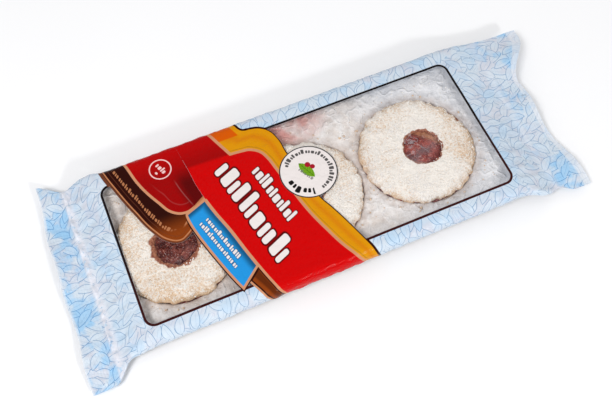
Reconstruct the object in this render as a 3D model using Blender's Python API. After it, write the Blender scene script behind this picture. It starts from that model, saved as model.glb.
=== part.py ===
"""A sealed film pack of three round jam biscuits, lying flat with its front side up.

The pack is a tube of film. Over the biscuits it is a low rounded box, and at both ends it slopes
down into a flat, slightly wavy fin where the tube is pressed shut. X runs along the pack, Y runs
across it and Z points up. The pack rests on Z = 0, with the origin under the middle of its box.
"""

import math

import bmesh
import bpy

# Driving dimensions, in metres. "near" is the side at -Y and "far" the side at +Y.
BODY_WIDTH = {"near": 0.0542, "far": 0.0558}    # from the X axis to each long side
BODY_HEIGHT = 0.0168
FOLD_HEIGHT = 0.0075            # where the film is widest, on the pack's long sides
TOP_ROUND = 0.0065              # width of the rounding along the top edges
BASE_ROUND = 0.0040             # width of the rounding along the bottom edges
FIN_ROUND = 0.0030
ROUND_POWER = 0.7               # below 1 makes the rounding boxier than a quarter ellipse
FILM_SAG = 0.0007               # how far the top dips between two biscuits
FIN_THICKNESS = 0.0010

BISCUIT_RADIUS = 0.0350
BISCUIT_CENTRES = ((-0.0922, -0.0037), (-0.0128, -0.0040), (0.0608, -0.0035))

# Each end: where the top starts to slope, where it meets the fin, and the fin's own shape. A
# spread says between which places along X the side of the body widens to the side of the fin.
# A fold is a place where the side bulges out or is pinched in: its X, its reach and its depth.
LEFT_END = {
    "shoulder": -0.1215,
    "seal": -0.1425,
    "outer_edge": -0.1590,
    "flare": {"near": -0.0008, "far": 0.0022},
    "flare_start": 0.30,
    "edge_wave": 0.0007,
    "width": {"near": 0.0650, "far": 0.0650},
    "spread": {"near": (-0.1335, -0.1480), "far": (-0.1395, -0.1570)},
    "folds": {"near": (), "far": ((-0.1300, 0.0150, 0.0030),)},
    "height": {"near": 0.0040, "far": 0.0048},
    "wave": 0.0014,
    "wave_length": 0.0520,
    "wave_phase": 0.6,
}
RIGHT_END = {
    "shoulder": 0.1030,
    "seal": 0.1285,
    "outer_edge": 0.1438,
    "flare": {"near": 0.0062, "far": 0.0162},
    "flare_start": 0.34,
    "edge_wave": 0.0008,
    "width": {"near": 0.0610, "far": 0.0525},
    "spread": {"near": (0.1080, 0.1370), "far": (0.1080, 0.1400)},
    "folds": {"near": ((0.1165, 0.0100, 0.0022), (0.1310, 0.0085, -0.0034)), "far": ()},
    "height": {"near": 0.0040, "far": 0.0115},
    "wave": 0.0022,
    "wave_length": 0.0420,
    "wave_phase": 2.2,
}

# How finely the surface is divided.
FIN_STEPS = 8
SLOPE_STEPS = 9
BODY_STEPS = 28
FLAT_STEPS = 22                 # across the flat middle of the top and the base
ROUND_STEPS = 5                 # around each long edge

PACK_COLOUR = (0.80, 0.88, 0.94, 1.0)


def mix(a, b, t):
    return a + (b - a) * t


def smooth(t):
    t = min(max(t, 0.0), 1.0)
    return t * t * (3.0 - 2.0 * t)


def fin_edge_x(end, side, across):
    """The fin's outer edge, whose corners reach further out than its middle."""
    flare = end["flare"][side] * smooth((abs(across) - end["flare_start"]) / (1.0 - end["flare_start"]))
    return end["outer_edge"] + flare + end["edge_wave"] * math.sin(9.0 * across)


def fin_height(end, across, out):
    """Height of the middle of the fin: one side may stand higher, with waves that grow outwards."""
    level = mix(end["height"]["near"], end["height"]["far"], smooth(0.5 + 0.5 * across))
    distance = across * end["width"]["near"]
    ripple = end["wave"] * math.sin(2.0 * math.pi * distance / end["wave_length"] + end["wave_phase"])
    return level + (0.25 + 0.75 * out) * ripple


def film_sag(x, y):
    """How far the top film dips at a place: nothing over a biscuit, most between two."""
    nearest = min(math.hypot(x - cx, y - cy) for cx, cy in BISCUIT_CENTRES)
    return FILM_SAG * smooth((nearest - 0.6 * BISCUIT_RADIUS) / (0.7 * BISCUIT_RADIUS))


def stations():
    """Places along the pack, from the left fin's edge to the right fin's edge.

    Each is (end, slope, out): slope runs from 0 on the body to 1 at the seal, and out from 0 at
    the seal to 1 at the fin's outer edge. On the body, slope runs below 0 towards the middle.
    """
    places = [(LEFT_END, 1.0, 1.0 - step / FIN_STEPS) for step in range(FIN_STEPS)]
    places += [(LEFT_END, 1.0 - step / SLOPE_STEPS, 0.0) for step in range(SLOPE_STEPS)]
    for step in range(BODY_STEPS + 1):
        x = mix(LEFT_END["shoulder"], RIGHT_END["shoulder"], step / BODY_STEPS)
        end = RIGHT_END if x > 0 else LEFT_END
        places.append((end, (x - end["shoulder"]) / (end["seal"] - end["shoulder"]), 0.0))
    places += [(RIGHT_END, (step + 1) / SLOPE_STEPS, 0.0) for step in range(SLOPE_STEPS)]
    places += [(RIGHT_END, 1.0, (step + 1) / FIN_STEPS) for step in range(FIN_STEPS)]
    return places


def crossings():
    """Places across the pack, from the near fold to the far one.

    Each is (side, flat, turn): flat runs from -1 to 1 over the flat middle, and turn goes from
    0 where the rounding of a long edge starts to 1 at the fold.
    """
    near = [("near", -1.0, 1.0 - step / ROUND_STEPS) for step in range(ROUND_STEPS)]
    middle = []
    for step in range(FLAT_STEPS + 1):
        flat = 2.0 * step / FLAT_STEPS - 1.0
        middle.append(("far" if flat > 0 else "near", flat, 0.0))
    far = [("far", 1.0, (step + 1) / ROUND_STEPS) for step in range(ROUND_STEPS)]
    return near + middle + far


def side_width(end, side, x):
    """Distance from the X axis to the fold on one side: the body's width, then the fin's."""
    start, stop = end["spread"][side]
    width = mix(BODY_WIDTH[side], end["width"][side], smooth((x - start) / (stop - start)))
    for place, reach, depth in end["folds"][side]:
        width += depth * smooth(1.0 - abs(x - place) / reach)
    return width


def surface_point(station, crossing, is_top):
    """A point on the upper or the lower sheet of the film tube."""
    end, slope, out = station
    side, flat, turn = crossing
    angle = turn * math.pi / 2.0
    sideways = math.sin(angle) ** ROUND_POWER if turn > 0.0 else 0.0
    upright = math.cos(angle) ** ROUND_POWER if turn < 1.0 else 0.0
    rounding = mix(TOP_ROUND if is_top else BASE_ROUND, FIN_ROUND, smooth(slope))

    x = mix(end["shoulder"], end["seal"], slope)
    if out > 0.0:
        x = mix(end["seal"], fin_edge_x(end, side, flat), out)
    width = side_width(end, side, x)
    y = flat * (width - rounding)
    y += math.copysign(rounding * sideways, flat)
    across = y / width

    if is_top:
        body_z = mix(FOLD_HEIGHT + 0.0003, BODY_HEIGHT - film_sag(x, y), upright)
        drop = 0.65 * max(slope, 0.0) + 0.35 * smooth(slope)
    else:
        body_z = (FOLD_HEIGHT - 0.0003) * (1.0 - upright)
        drop = smooth(slope)
    half_thickness = 0.5 * FIN_THICKNESS if is_top else -0.5 * FIN_THICKNESS
    fin_z = fin_height(end, across, out) + half_thickness
    return x, y, mix(body_z, fin_z, drop)


def pack_mesh():
    """The closed pack: a grid for the upper sheet, extruded into the lower sheet and the edges."""
    along = stations()
    over = crossings()
    pack = bmesh.new()
    bmesh.ops.create_grid(pack, x_segments=len(along) - 1, y_segments=len(over) - 1, size=0.5)
    extruded = bmesh.ops.extrude_face_region(pack, geom=pack.faces[:], use_keep_orig=True)
    lower = {item for item in extruded["geom"] if isinstance(item, bmesh.types.BMVert)}
    for vertex in pack.verts:
        column = round((vertex.co.x + 0.5) * (len(along) - 1))
        row = round((vertex.co.y + 0.5) * (len(over) - 1))
        vertex.co = surface_point(along[column], over[row], vertex not in lower)
    bmesh.ops.recalc_face_normals(pack, faces=pack.faces[:])

    mesh = bpy.data.meshes.new("biscuit_pack")
    pack.to_mesh(mesh)
    pack.free()
    mesh.shade_smooth()
    mesh.set_sharp_from_angle(angle=math.radians(50.0))
    return mesh


def film_material():
    material = bpy.data.materials.new("printed_film")
    material.use_nodes = True
    shader = material.node_tree.nodes["Principled BSDF"]
    shader.inputs["Base Color"].default_value = PACK_COLOUR
    shader.inputs["Roughness"].default_value = 0.25
    shader.inputs["Metallic"].default_value = 0.0
    return material


def main():
    for thing in list(bpy.data.objects):
        bpy.data.objects.remove(thing, do_unlink=True)
    pack = bpy.data.objects.new("biscuit_pack", pack_mesh())
    pack.data.materials.append(film_material())
    bpy.context.scene.collection.objects.link(pack)


main()
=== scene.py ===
import math
import random

import bmesh
import bpy
from mathutils import Matrix, Vector, noise
from mathutils.bvhtree import BVHTree


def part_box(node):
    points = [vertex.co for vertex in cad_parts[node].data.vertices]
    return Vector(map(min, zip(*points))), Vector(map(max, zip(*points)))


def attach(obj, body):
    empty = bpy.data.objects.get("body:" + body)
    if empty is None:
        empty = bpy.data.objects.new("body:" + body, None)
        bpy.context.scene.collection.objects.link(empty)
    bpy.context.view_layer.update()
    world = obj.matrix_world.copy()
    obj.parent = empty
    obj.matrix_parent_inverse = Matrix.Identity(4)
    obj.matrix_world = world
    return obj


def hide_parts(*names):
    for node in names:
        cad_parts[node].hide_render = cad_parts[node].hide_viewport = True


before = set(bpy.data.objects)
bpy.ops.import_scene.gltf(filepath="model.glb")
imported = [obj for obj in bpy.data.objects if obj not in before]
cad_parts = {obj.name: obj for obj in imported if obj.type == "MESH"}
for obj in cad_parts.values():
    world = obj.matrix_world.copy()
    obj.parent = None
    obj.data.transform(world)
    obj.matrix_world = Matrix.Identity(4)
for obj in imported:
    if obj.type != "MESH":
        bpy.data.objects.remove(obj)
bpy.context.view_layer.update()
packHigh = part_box("biscuit_pack")[1]
bpy.context.scene.view_settings.view_transform = "Standard"

# the filled pack as the frame has it, in metres
pack = {
    "width": {"near": 0.0542, "far": 0.0558},
    "height": packHigh[2],
    "foldHeight": 0.0075,
    "topRound": 0.0065,
    "baseRound": 0.0040,
    "finRound": 0.0030,
    "roundPower": 0.7,
    "sag": 0.0007,
    "baseGap": 0.0006,          # room under the film for the back seam
    "sheetGap": 0.00020,        # a sheet's distance from the middle of a fin
    "biscuitRadius": 0.0350,
    "biscuitCentres": ((-0.0922, -0.0037), (-0.0128, -0.0040), (0.0608, -0.0035)),
}
leftEnd = {
    "shoulder": -0.1215,
    "seal": -0.1425,
    "outerEdge": -0.1590,
    "flare": {"near": -0.0008, "far": 0.0022},
    "flareStart": 0.30,
    "edgeWave": 0.0007,
    "width": {"near": 0.0650, "far": 0.0650},
    "spread": {"near": (-0.1335, -0.1480), "far": (-0.1395, -0.1570)},
    "folds": {"near": (), "far": ((-0.1300, 0.0150, 0.0030),)},
    "height": {"near": 0.0040, "far": 0.0048},
    "wave": 0.0014,
    "waveLength": 0.0520,
    "wavePhase": 0.6,
    "ridge": 0.0019,
}
rightEnd = {
    "shoulder": 0.1030,
    "seal": 0.1285,
    "outerEdge": 0.1438,
    "flare": {"near": 0.0062, "far": 0.0162},
    "flareStart": 0.34,
    "edgeWave": 0.0008,
    "width": {"near": 0.0610, "far": 0.0525},
    "spread": {"near": (0.1080, 0.1370), "far": (0.1080, 0.1400)},
    "folds": {"near": ((0.1165, 0.0100, 0.0022), (0.1310, 0.0085, -0.0034)), "far": ()},
    "height": {"near": 0.0040, "far": 0.0115},
    "wave": 0.0022,
    "waveLength": 0.0420,
    "wavePhase": 2.2,
    "ridge": 0.0006,
}


def mix(a, b, t):
    return a + (b - a) * t


def smooth(t):
    t = min(max(t, 0.0), 1.0)
    return t * t * (3.0 - 2.0 * t)


def tint(red, green, blue):  # a screen colour, 0 to 255, as the linear colour that a shader wants
    linear = []
    for part in (red, green, blue):
        part = part / 255.0
        linear.append(part / 12.92 if part <= 0.04045 else ((part + 0.055) / 1.055) ** 2.4)
    return (*linear, 1.0)


def bumps(x, y, z, size):  # smooth noise from -1 to 1 whose bumps are about size across
    return noise.noise(Vector((x, y, z)) / size)


def nearestBiscuit(x, y):  # distance to the middle of the nearest biscuit
    return min(math.hypot(x - cx, y - cy) for cx, cy in pack["biscuitCentres"])


# ---- sums on sockets ----
class Value:  # wraps a socket, so that shader maths reads as plain sums
    def __init__(self, recipe, socket):
        self.recipe = recipe
        self.socket = socket

    def math(self, operation, *others):
        inputs = dict(enumerate((self,) + others))
        return self.recipe.make("ShaderNodeMath", {"operation": operation}, inputs)

    def __add__(self, other):
        return self.math("ADD", other)

    def __radd__(self, other):
        return self.math("ADD", other)

    def __sub__(self, other):
        return self.math("SUBTRACT", other)

    def __rsub__(self, other):
        return self.recipe.make("ShaderNodeMath", {"operation": "SUBTRACT"}, {0: other, 1: self})

    def __mul__(self, other):
        return self.math("MULTIPLY", other)

    def __rmul__(self, other):
        return self.math("MULTIPLY", other)

    def __truediv__(self, other):
        return self.math("DIVIDE", other)

    def __neg__(self):
        return self.math("MULTIPLY", -1.0)

    def __abs__(self):
        return self.math("ABSOLUTE")

    def __mod__(self, other):
        return self.math("FLOORED_MODULO", other)

    def __pow__(self, other):
        return self.math("POWER", other)

    def least(self, other):
        return self.math("MINIMUM", other)

    def most(self, other):
        return self.math("MAXIMUM", other)

    def ramp(self, low, high):  # 0 at low, 1 at high, smooth between
        settings = {"interpolation_type": "SMOOTHSTEP"}
        return self.recipe.make("ShaderNodeMapRange", settings, {0: self, 1: low, 2: high})

    def inside(self, blur=0.12):  # 1 where a distance is below zero
        return self.ramp(blur, -blur)

    def beyond(self, blur=0.12):  # 1 where a distance is above zero
        return self.ramp(-blur, blur)

    def line(self, half, blur=0.12):  # 1 on a line of that half width, where a distance is zero
        return (abs(self) - half).inside(blur)


class Recipe:  # the nodes of one material
    def __init__(self, name):
        self.material = bpy.data.materials.new(name)
        self.material.use_nodes = True
        self.tree = self.material.node_tree
        self.tree.nodes.clear()

    def make(self, kind, settings=None, inputs=None, output=0):
        node = self.tree.nodes.new(kind)
        for name, setting in (settings or {}).items():
            if name == "points":
                self.setPoints(node.mapping, setting)
            else:
                setattr(node, name, setting)
        for place, item in (inputs or {}).items():
            if isinstance(item, Value):
                self.tree.links.new(item.socket, node.inputs[place])
            else:
                node.inputs[place].default_value = item
        return Value(self, node.outputs[output]) if node.outputs else None

    def setPoints(self, mapping, points):
        curve = mapping.curves[0]
        while len(curve.points) < len(points):
            curve.points.new(0.5, 0.5)
        for point, place in zip(curve.points, points):
            point.location = place
        mapping.update()

    def mixColour(self, under, over, mask):
        return self.make("ShaderNodeMix", {"data_type": "RGBA"}, {0: mask, 6: under, 7: over}, 2)

    def speckle(self, vector, scale, detail=2.0, roughness=0.5):  # noise, mostly 0.3 to 0.7
        inputs = {"Vector": vector, "Scale": scale, "Detail": detail, "Roughness": roughness}
        return self.make("ShaderNodeTexNoise", {}, inputs)

    def place(self):  # the piece's own coordinates, in metres
        return self.make("ShaderNodeTexCoord", {}, {}, "Object")

    def attribute(self, name):
        return self.make("ShaderNodeAttribute", {"attribute_name": name}, {}, "Fac")

    def parts(self, vector):
        node = self.make("ShaderNodeSeparateXYZ", {}, {0: vector}).socket.node
        return [Value(self, socket) for socket in node.outputs]

    def vector(self, x, y, z=0.0):
        return self.make("ShaderNodeCombineXYZ", {}, {0: x, 1: y, 2: z})

    def bump(self, height, distance, strength=1.0):
        inputs = {"Height": height, "Strength": strength, "Distance": distance}
        return self.make("ShaderNodeBump", {}, inputs)

    def finish(self, inputs):
        surface = self.make("ShaderNodeBsdfPrincipled", {}, inputs)
        self.make("ShaderNodeOutputMaterial", {}, {"Surface": surface})
        return self.material


def toMesh(name, shape):
    mesh = bpy.data.meshes.new(name)
    shape.to_mesh(mesh)
    shape.free()
    mesh.shade_smooth()
    return mesh


def addPiece(mesh, material):  # a finished piece, on the pack's only body
    piece = bpy.data.objects.new(mesh.name, mesh)
    bpy.context.scene.collection.objects.link(piece)
    piece.data.materials.append(material)
    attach(piece, "root")
    return piece


# ---- the film ----
filmSteps = {"leftFin": 52, "rightFin": 64, "slope": 28, "body": 120, "flat": 112, "round": 12}
creases = {
    "top": 0.00022,             # soft waves over the biscuits
    "pleat": 0.00090,           # gathers where the ends slope down
    "wall": 0.00080,
    "fin": 0.00075,
    "crimp": 0.00007,
    "crimpPitch": 0.0016,
    "ridgeWidth": 0.0015,       # of the crumpled roll along each seal
}


def finEdge(end, side, across):
    flare = end["flare"][side] * smooth((abs(across) - end["flareStart"]) / (1.0 - end["flareStart"]))
    return end["outerEdge"] + flare + end["edgeWave"] * math.sin(9.0 * across)


def finHeight(end, across, out):
    level = mix(end["height"]["near"], end["height"]["far"], smooth(0.5 + 0.5 * across))
    turn = 2.0 * math.pi * across * end["width"]["near"] / end["waveLength"] + end["wavePhase"]
    return level + (0.25 + 0.75 * out) * end["wave"] * math.sin(turn)


def filmSag(x, y):
    reach = pack["biscuitRadius"]
    return pack["sag"] * smooth((nearestBiscuit(x, y) - 0.6 * reach) / (0.7 * reach))


def sideWidth(end, side, x):
    start, stop = end["spread"][side]
    width = mix(pack["width"][side], end["width"][side], smooth((x - start) / (stop - start)))
    for place, reach, depth in end["folds"][side]:
        width += depth * smooth(1.0 - abs(x - place) / reach)
    return width


def filmStations():  # (end, slope, out) along the pack, laid out as the frame's own solid is
    fin, slopes = filmSteps["leftFin"], filmSteps["slope"]
    places = [(leftEnd, 1.0, 1.0 - step / fin) for step in range(fin)]
    places += [(leftEnd, 1.0 - step / slopes, 0.0) for step in range(slopes)]
    for step in range(filmSteps["body"] + 1):
        x = mix(leftEnd["shoulder"], rightEnd["shoulder"], step / filmSteps["body"])
        end = rightEnd if x > 0 else leftEnd
        places.append((end, (x - end["shoulder"]) / (end["seal"] - end["shoulder"]), 0.0))
    fin = filmSteps["rightFin"]
    places += [(rightEnd, (step + 1) / slopes, 0.0) for step in range(slopes)]
    places += [(rightEnd, 1.0, (step + 1) / fin) for step in range(fin)]
    return places


def filmCrossings():  # (side, flat, turn) across the pack, from the near fold to the far one
    rounds, flats = filmSteps["round"], filmSteps["flat"]
    near = [("near", -1.0, 1.0 - step / rounds) for step in range(rounds)]
    middle = []
    for step in range(flats + 1):
        flat = 2.0 * step / flats - 1.0
        middle.append(("far" if flat > 0 else "near", flat, 0.0))
    return near + middle + [("far", 1.0, (step + 1) / rounds) for step in range(rounds)]


def filmPoint(station, crossing, isTop):  # the smooth film, before its small creases
    end, slope, out = station
    side, flat, turn = crossing
    angle = turn * math.pi / 2.0
    sideways = math.sin(angle) ** pack["roundPower"] if turn > 0.0 else 0.0
    upright = math.cos(angle) ** pack["roundPower"] if turn < 1.0 else 0.0
    rounding = mix(pack["topRound"] if isTop else pack["baseRound"], pack["finRound"], smooth(slope))
    x = mix(end["shoulder"], end["seal"], slope)
    if out > 0.0:
        x = mix(end["seal"], finEdge(end, side, flat), out)
    width = sideWidth(end, side, x)
    y = flat * (width - rounding) + math.copysign(rounding * sideways, flat)
    across = y / width
    if isTop:
        bodyZ = mix(pack["foldHeight"], pack["height"] - filmSag(x, y), upright)
        drop = 0.65 * max(slope, 0.0) + 0.35 * smooth(slope)
    else:
        bodyZ = mix(pack["baseGap"], pack["foldHeight"], 1.0 - upright)
        drop = smooth(slope)
    gap = pack["sheetGap"] if isTop else -pack["sheetGap"]
    finZ = finHeight(end, across, out) + gap * (1.0 - turn)
    return Vector((x, y, mix(bodyZ, finZ, drop)))


def filmCrease(point, station, crossing, isTop):  # the small wrinkles to add at a film point
    x, y, z = point
    end, slope, out = station
    _, flat, turn = crossing
    folded = smooth(slope)
    pleat = bumps(x * 0.16 + 3.0, y, 0.0, 0.0042) + 0.5 * bumps(x * 0.3, y, 0.02, 0.0021)
    rise = creases["pleat"] * pleat * math.sin(math.pi * min(max(slope, 0.0), 1.0)) ** 0.7
    if out > 0.0:
        shared = bumps(x, y * 0.8, 0.05, 0.013) + 0.5 * bumps(x, y, 0.09, 0.005)
        rise += creases["fin"] * shared * smooth(out * 3.0)
        rise += creases["crimp"] * math.sin(2.0 * math.pi * x / creases["crimpPitch"]) * smooth(out * 8.0)
    if isTop:
        soft = bumps(x * 0.7, y, 0.2, 0.016) + 0.35 * bumps(x, y, 0.3, 0.005)
        rise += creases["top"] * soft * (1.0 - folded) * (1.0 - turn)
        fromSeal = abs(x - end["seal"] - 0.0008 * bumps(y, 0.0, 0.8, 0.011)) / creases["ridgeWidth"]
        crumple = 0.8 + 0.8 * bumps(x, y, 0.6, 0.0062) + 0.5 * bumps(x, y, 0.9, 0.0030)
        rise += end["ridge"] * crumple * math.exp(-fromSeal * fromSeal) * (1.0 - turn)
    elif slope <= 0.0:
        rise = 0.0
    wall = bumps(x, z * 0.22, 0.4 + math.copysign(0.1, flat), 0.0052)
    wall += 0.5 * bumps(x * 0.5, z * 0.5, 0.7, 0.0026)
    push = creases["wall"] * wall * smooth(turn * 1.6) * (1.0 - folded)
    if not isTop:
        push *= mix(0.3, 1.0, turn)
    return Vector((0.0, math.copysign(push, flat), rise))


def measureFilm(top, base):  # flat film places in metres: U along the pack, V around it
    columns, rows = len(top), len(top[0])
    middle = min(range(columns), key=lambda column: abs(top[column][rows // 2].x))
    along = [[0.0] * rows for _ in range(columns)]
    for row in range(rows):
        along[middle][row] = top[middle][row].x
        for column in range(middle + 1, columns):
            step = (top[column][row].xz - top[column - 1][row].xz).length
            along[column][row] = along[column - 1][row] + step
        for column in range(middle - 1, -1, -1):
            step = (top[column][row].xz - top[column + 1][row].xz).length
            along[column][row] = along[column + 1][row] - step
    around = {True: [[0.0] * rows for _ in range(columns)], False: [[0.0] * rows for _ in range(columns)]}
    for column in range(columns):
        for sign in (-1, 1):
            row = rows // 2
            while 0 <= row + sign < rows:
                step = (top[column][row + sign].yz - top[column][row].yz).length
                around[True][column][row + sign] = around[True][column][row] + sign * step
                row += sign
            around[False][column][row] = around[True][column][row]
            while row != rows // 2:
                step = (base[column][row - sign].yz - base[column][row].yz).length
                around[False][column][row - sign] = around[False][column][row] + sign * step
                row -= sign
    return along, around


def filmMesh():
    stations, crossings = filmStations(), filmCrossings()
    sheets = {}
    for isTop in (True, False):
        sheets[isTop] = [[filmPoint(s, c, isTop) for c in crossings] for s in stations]
    along, around = measureFilm(sheets[True], sheets[False])
    tube = bmesh.new()
    bmesh.ops.create_grid(tube, x_segments=len(stations) - 1, y_segments=len(crossings) - 1, size=0.5)
    extruded = bmesh.ops.extrude_face_region(tube, geom=tube.faces[:], use_keep_orig=True)
    # known fault: making the two layers here drops what lower holds, so both sheets take the upper
    # one's places and merge, and the film has no underside; making them before the grid should mend
    # that, which is untried here
    lower = {item for item in extruded["geom"] if isinstance(item, bmesh.types.BMVert)}
    outLayer = tube.verts.layers.float.new("finOut")
    flatLayer = tube.loops.layers.uv.new("flatFilm")
    placed = {}
    for vertex in tube.verts:
        column = round((vertex.co.x + 0.5) * (len(stations) - 1))
        row = round((vertex.co.y + 0.5) * (len(crossings) - 1))
        placed[vertex] = (column, row, vertex not in lower)
    for vertex, (column, row, isTop) in placed.items():
        point = sheets[isTop][column][row]
        vertex.co = point + filmCrease(point, stations[column], crossings[row], isTop)
        slope, out = stations[column][1:]
        vertex[outLayer] = out if out > 0.0 else max(slope, 0.0) - 1.0
    centre = len(crossings) // 2
    for face in tube.faces:
        isNear = sum(placed[vertex][1] for vertex in face.verts) < 4 * centre
        for loop in face.loops:
            column, row, isTop = placed[loop.vert]
            v = around[isTop][column][row]
            if not isTop:
                v = -abs(v) if isNear else abs(v)
            loop[flatLayer].uv = (along[column][row], v)
    bmesh.ops.remove_doubles(tube, verts=tube.verts[:], dist=0.000002)
    bmesh.ops.recalc_face_normals(tube, faces=tube.faces[:])
    return toMesh("filmWrap", tube)


# ---- the print on the film ----
# places are millimetres of flat film: U along the pack, V around it, both 0 over the origin
windowPrint = {"centre": (-9.5, -1.05), "half": (111.65, 44.7), "corner": 5.5, "line": 0.74}
leafPrint = {"pitch": 9.0, "length": 12.2, "half": 2.5, "spread": 2.0, "line": 0.15}
bandPrint = {  # each outline's points, and the turn of the axis that it is measured from
    "swoosh": ([(-119.8, 66), (-118.0, 54), (-113.6, 38), (-108.0, 21), (-101.8, 5.4), (-95.6, -3.4),
                (-88.4, -6.8), (-83.6, -5.1), (-79.0, -2.0), (-73.0, 2.4)], -18.0),
    "brownToRed": ([(-107.5, 66), (-103.3, 53.7), (-99.2, 37), (-92.6, 21.8), (-86.6, 12.2), (-80.6, 9.6),
                    (-73.8, 11.2), (-66.5, 14.4)], -25.0),
    "redEdge": ([(-75.0, 80), (-70.1, 36.6), (-67.5, 14.5), (-64.7, 2.7), (-60.9, -9.7), (-56.6, -27),
                 (-51.3, -45.6), (-45.4, -60), (-37, -82)], -75.0),
    "amberInner": ([(-72.0, 36.8), (-58.0, 36.1), (-43.9, 35.4), (-36.5, 34.7), (-31.4, 33.6),
                    (-27.0, 30.2), (-24.4, 24.6), (-22.7, 16.8), (-17.7, -8.6), (-14.7, -20.2),
                    (-10.6, -32.1), (-5.7, -44.1), (2.4, -58.7), (13, -80)], -45.0),
    "amberOuter": ([(-40.0, 80), (-33.9, 53), (-32.0, 48.8), (-27.5, 47.6), (-20.6, 45.4), (-16.4, 41.8),
                    (-13.7, 35.4), (-12.6, 24), (-9.6, 5), (-5.9, -11.6), (-2.2, -20.2), (4.8, -38.7),
                    (11.6, -59.3), (18.5, -80)], -52.0),
    "blueEdge": ([(-80.0, 10), (-80.4, 0.7), (-78.9, -6.6), (-76.1, -17.5), (-72.7, -29), (-69.1, -39.8),
                  (-66.0, -47.5)], -75.0),
}
rowPrint = [                    # the rows of bars: start, turn, spacing, half sizes, seed and outline
    ((-50.2, 31.0), -79.4, 6.4, (2.3, 7.0), 1.0, 0.9),
    ((-33.0, 21.0), -79.0, 3.6, (1.3, 3.9), 2.0, 0.6),
]
rowBars = 11
ringPrint = {"centre": (-84.8, 42.2), "radius": 6.3, "line": 0.36, "turn": -68.0}
badgePrint = {"centre": (-5.9, 6.4), "radius": 17.1, "berries": (((1.2, 4.3), 1.7), ((3.4, 2.1), 1.5))}
wrapEnd = 84.0                  # how far around the pack the band's colours reach
inks = {
    "pale": tint(205, 216, 227),
    "skyBlue": tint(148, 195, 231),
    "lilac": tint(203, 206, 217),
    "sealed": tint(222, 222, 230),
    "leafLine": tint(94, 138, 178),
    "leafDeep": tint(70, 136, 204),
    "margin": tint(226, 228, 233),
    "border": tint(22, 14, 15),
    "borderNear": tint(60, 16, 14),
    "tan": tint(200, 140, 104),
    "gold": tint(184, 120, 80),
    "darkBrown": tint(44, 8, 3),
    "rimBrown": tint(104, 56, 36),
    "brown": tint(136, 60, 14),
    "darkRed": tint(152, 2, 3),
    "deepRed": tint(86, 2, 3),
    "farRed": tint(180, 2, 3),
    "red": tint(198, 1, 2),
    "amber": tint(212, 142, 6),
    "amberDeep": tint(202, 104, 10),
    "olive": tint(124, 92, 40),
    "orange": tint(208, 86, 0),
    "blue": tint(34, 143, 214),
    "blueShade": tint(12, 56, 84),
    "white": tint(229, 221, 219),
    "pink": tint(238, 196, 194),
    "black": tint(22, 20, 20),
    "grey": tint(110, 108, 106),
    "leaf": tint(112, 160, 30),
    "leafDark": tint(70, 116, 16),
    "berry": tint(160, 24, 40),
}


def rotated(point, angle):
    return (point[0] * math.cos(angle) + point[1] * math.sin(angle),
            point[1] * math.cos(angle) - point[0] * math.sin(angle))


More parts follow.
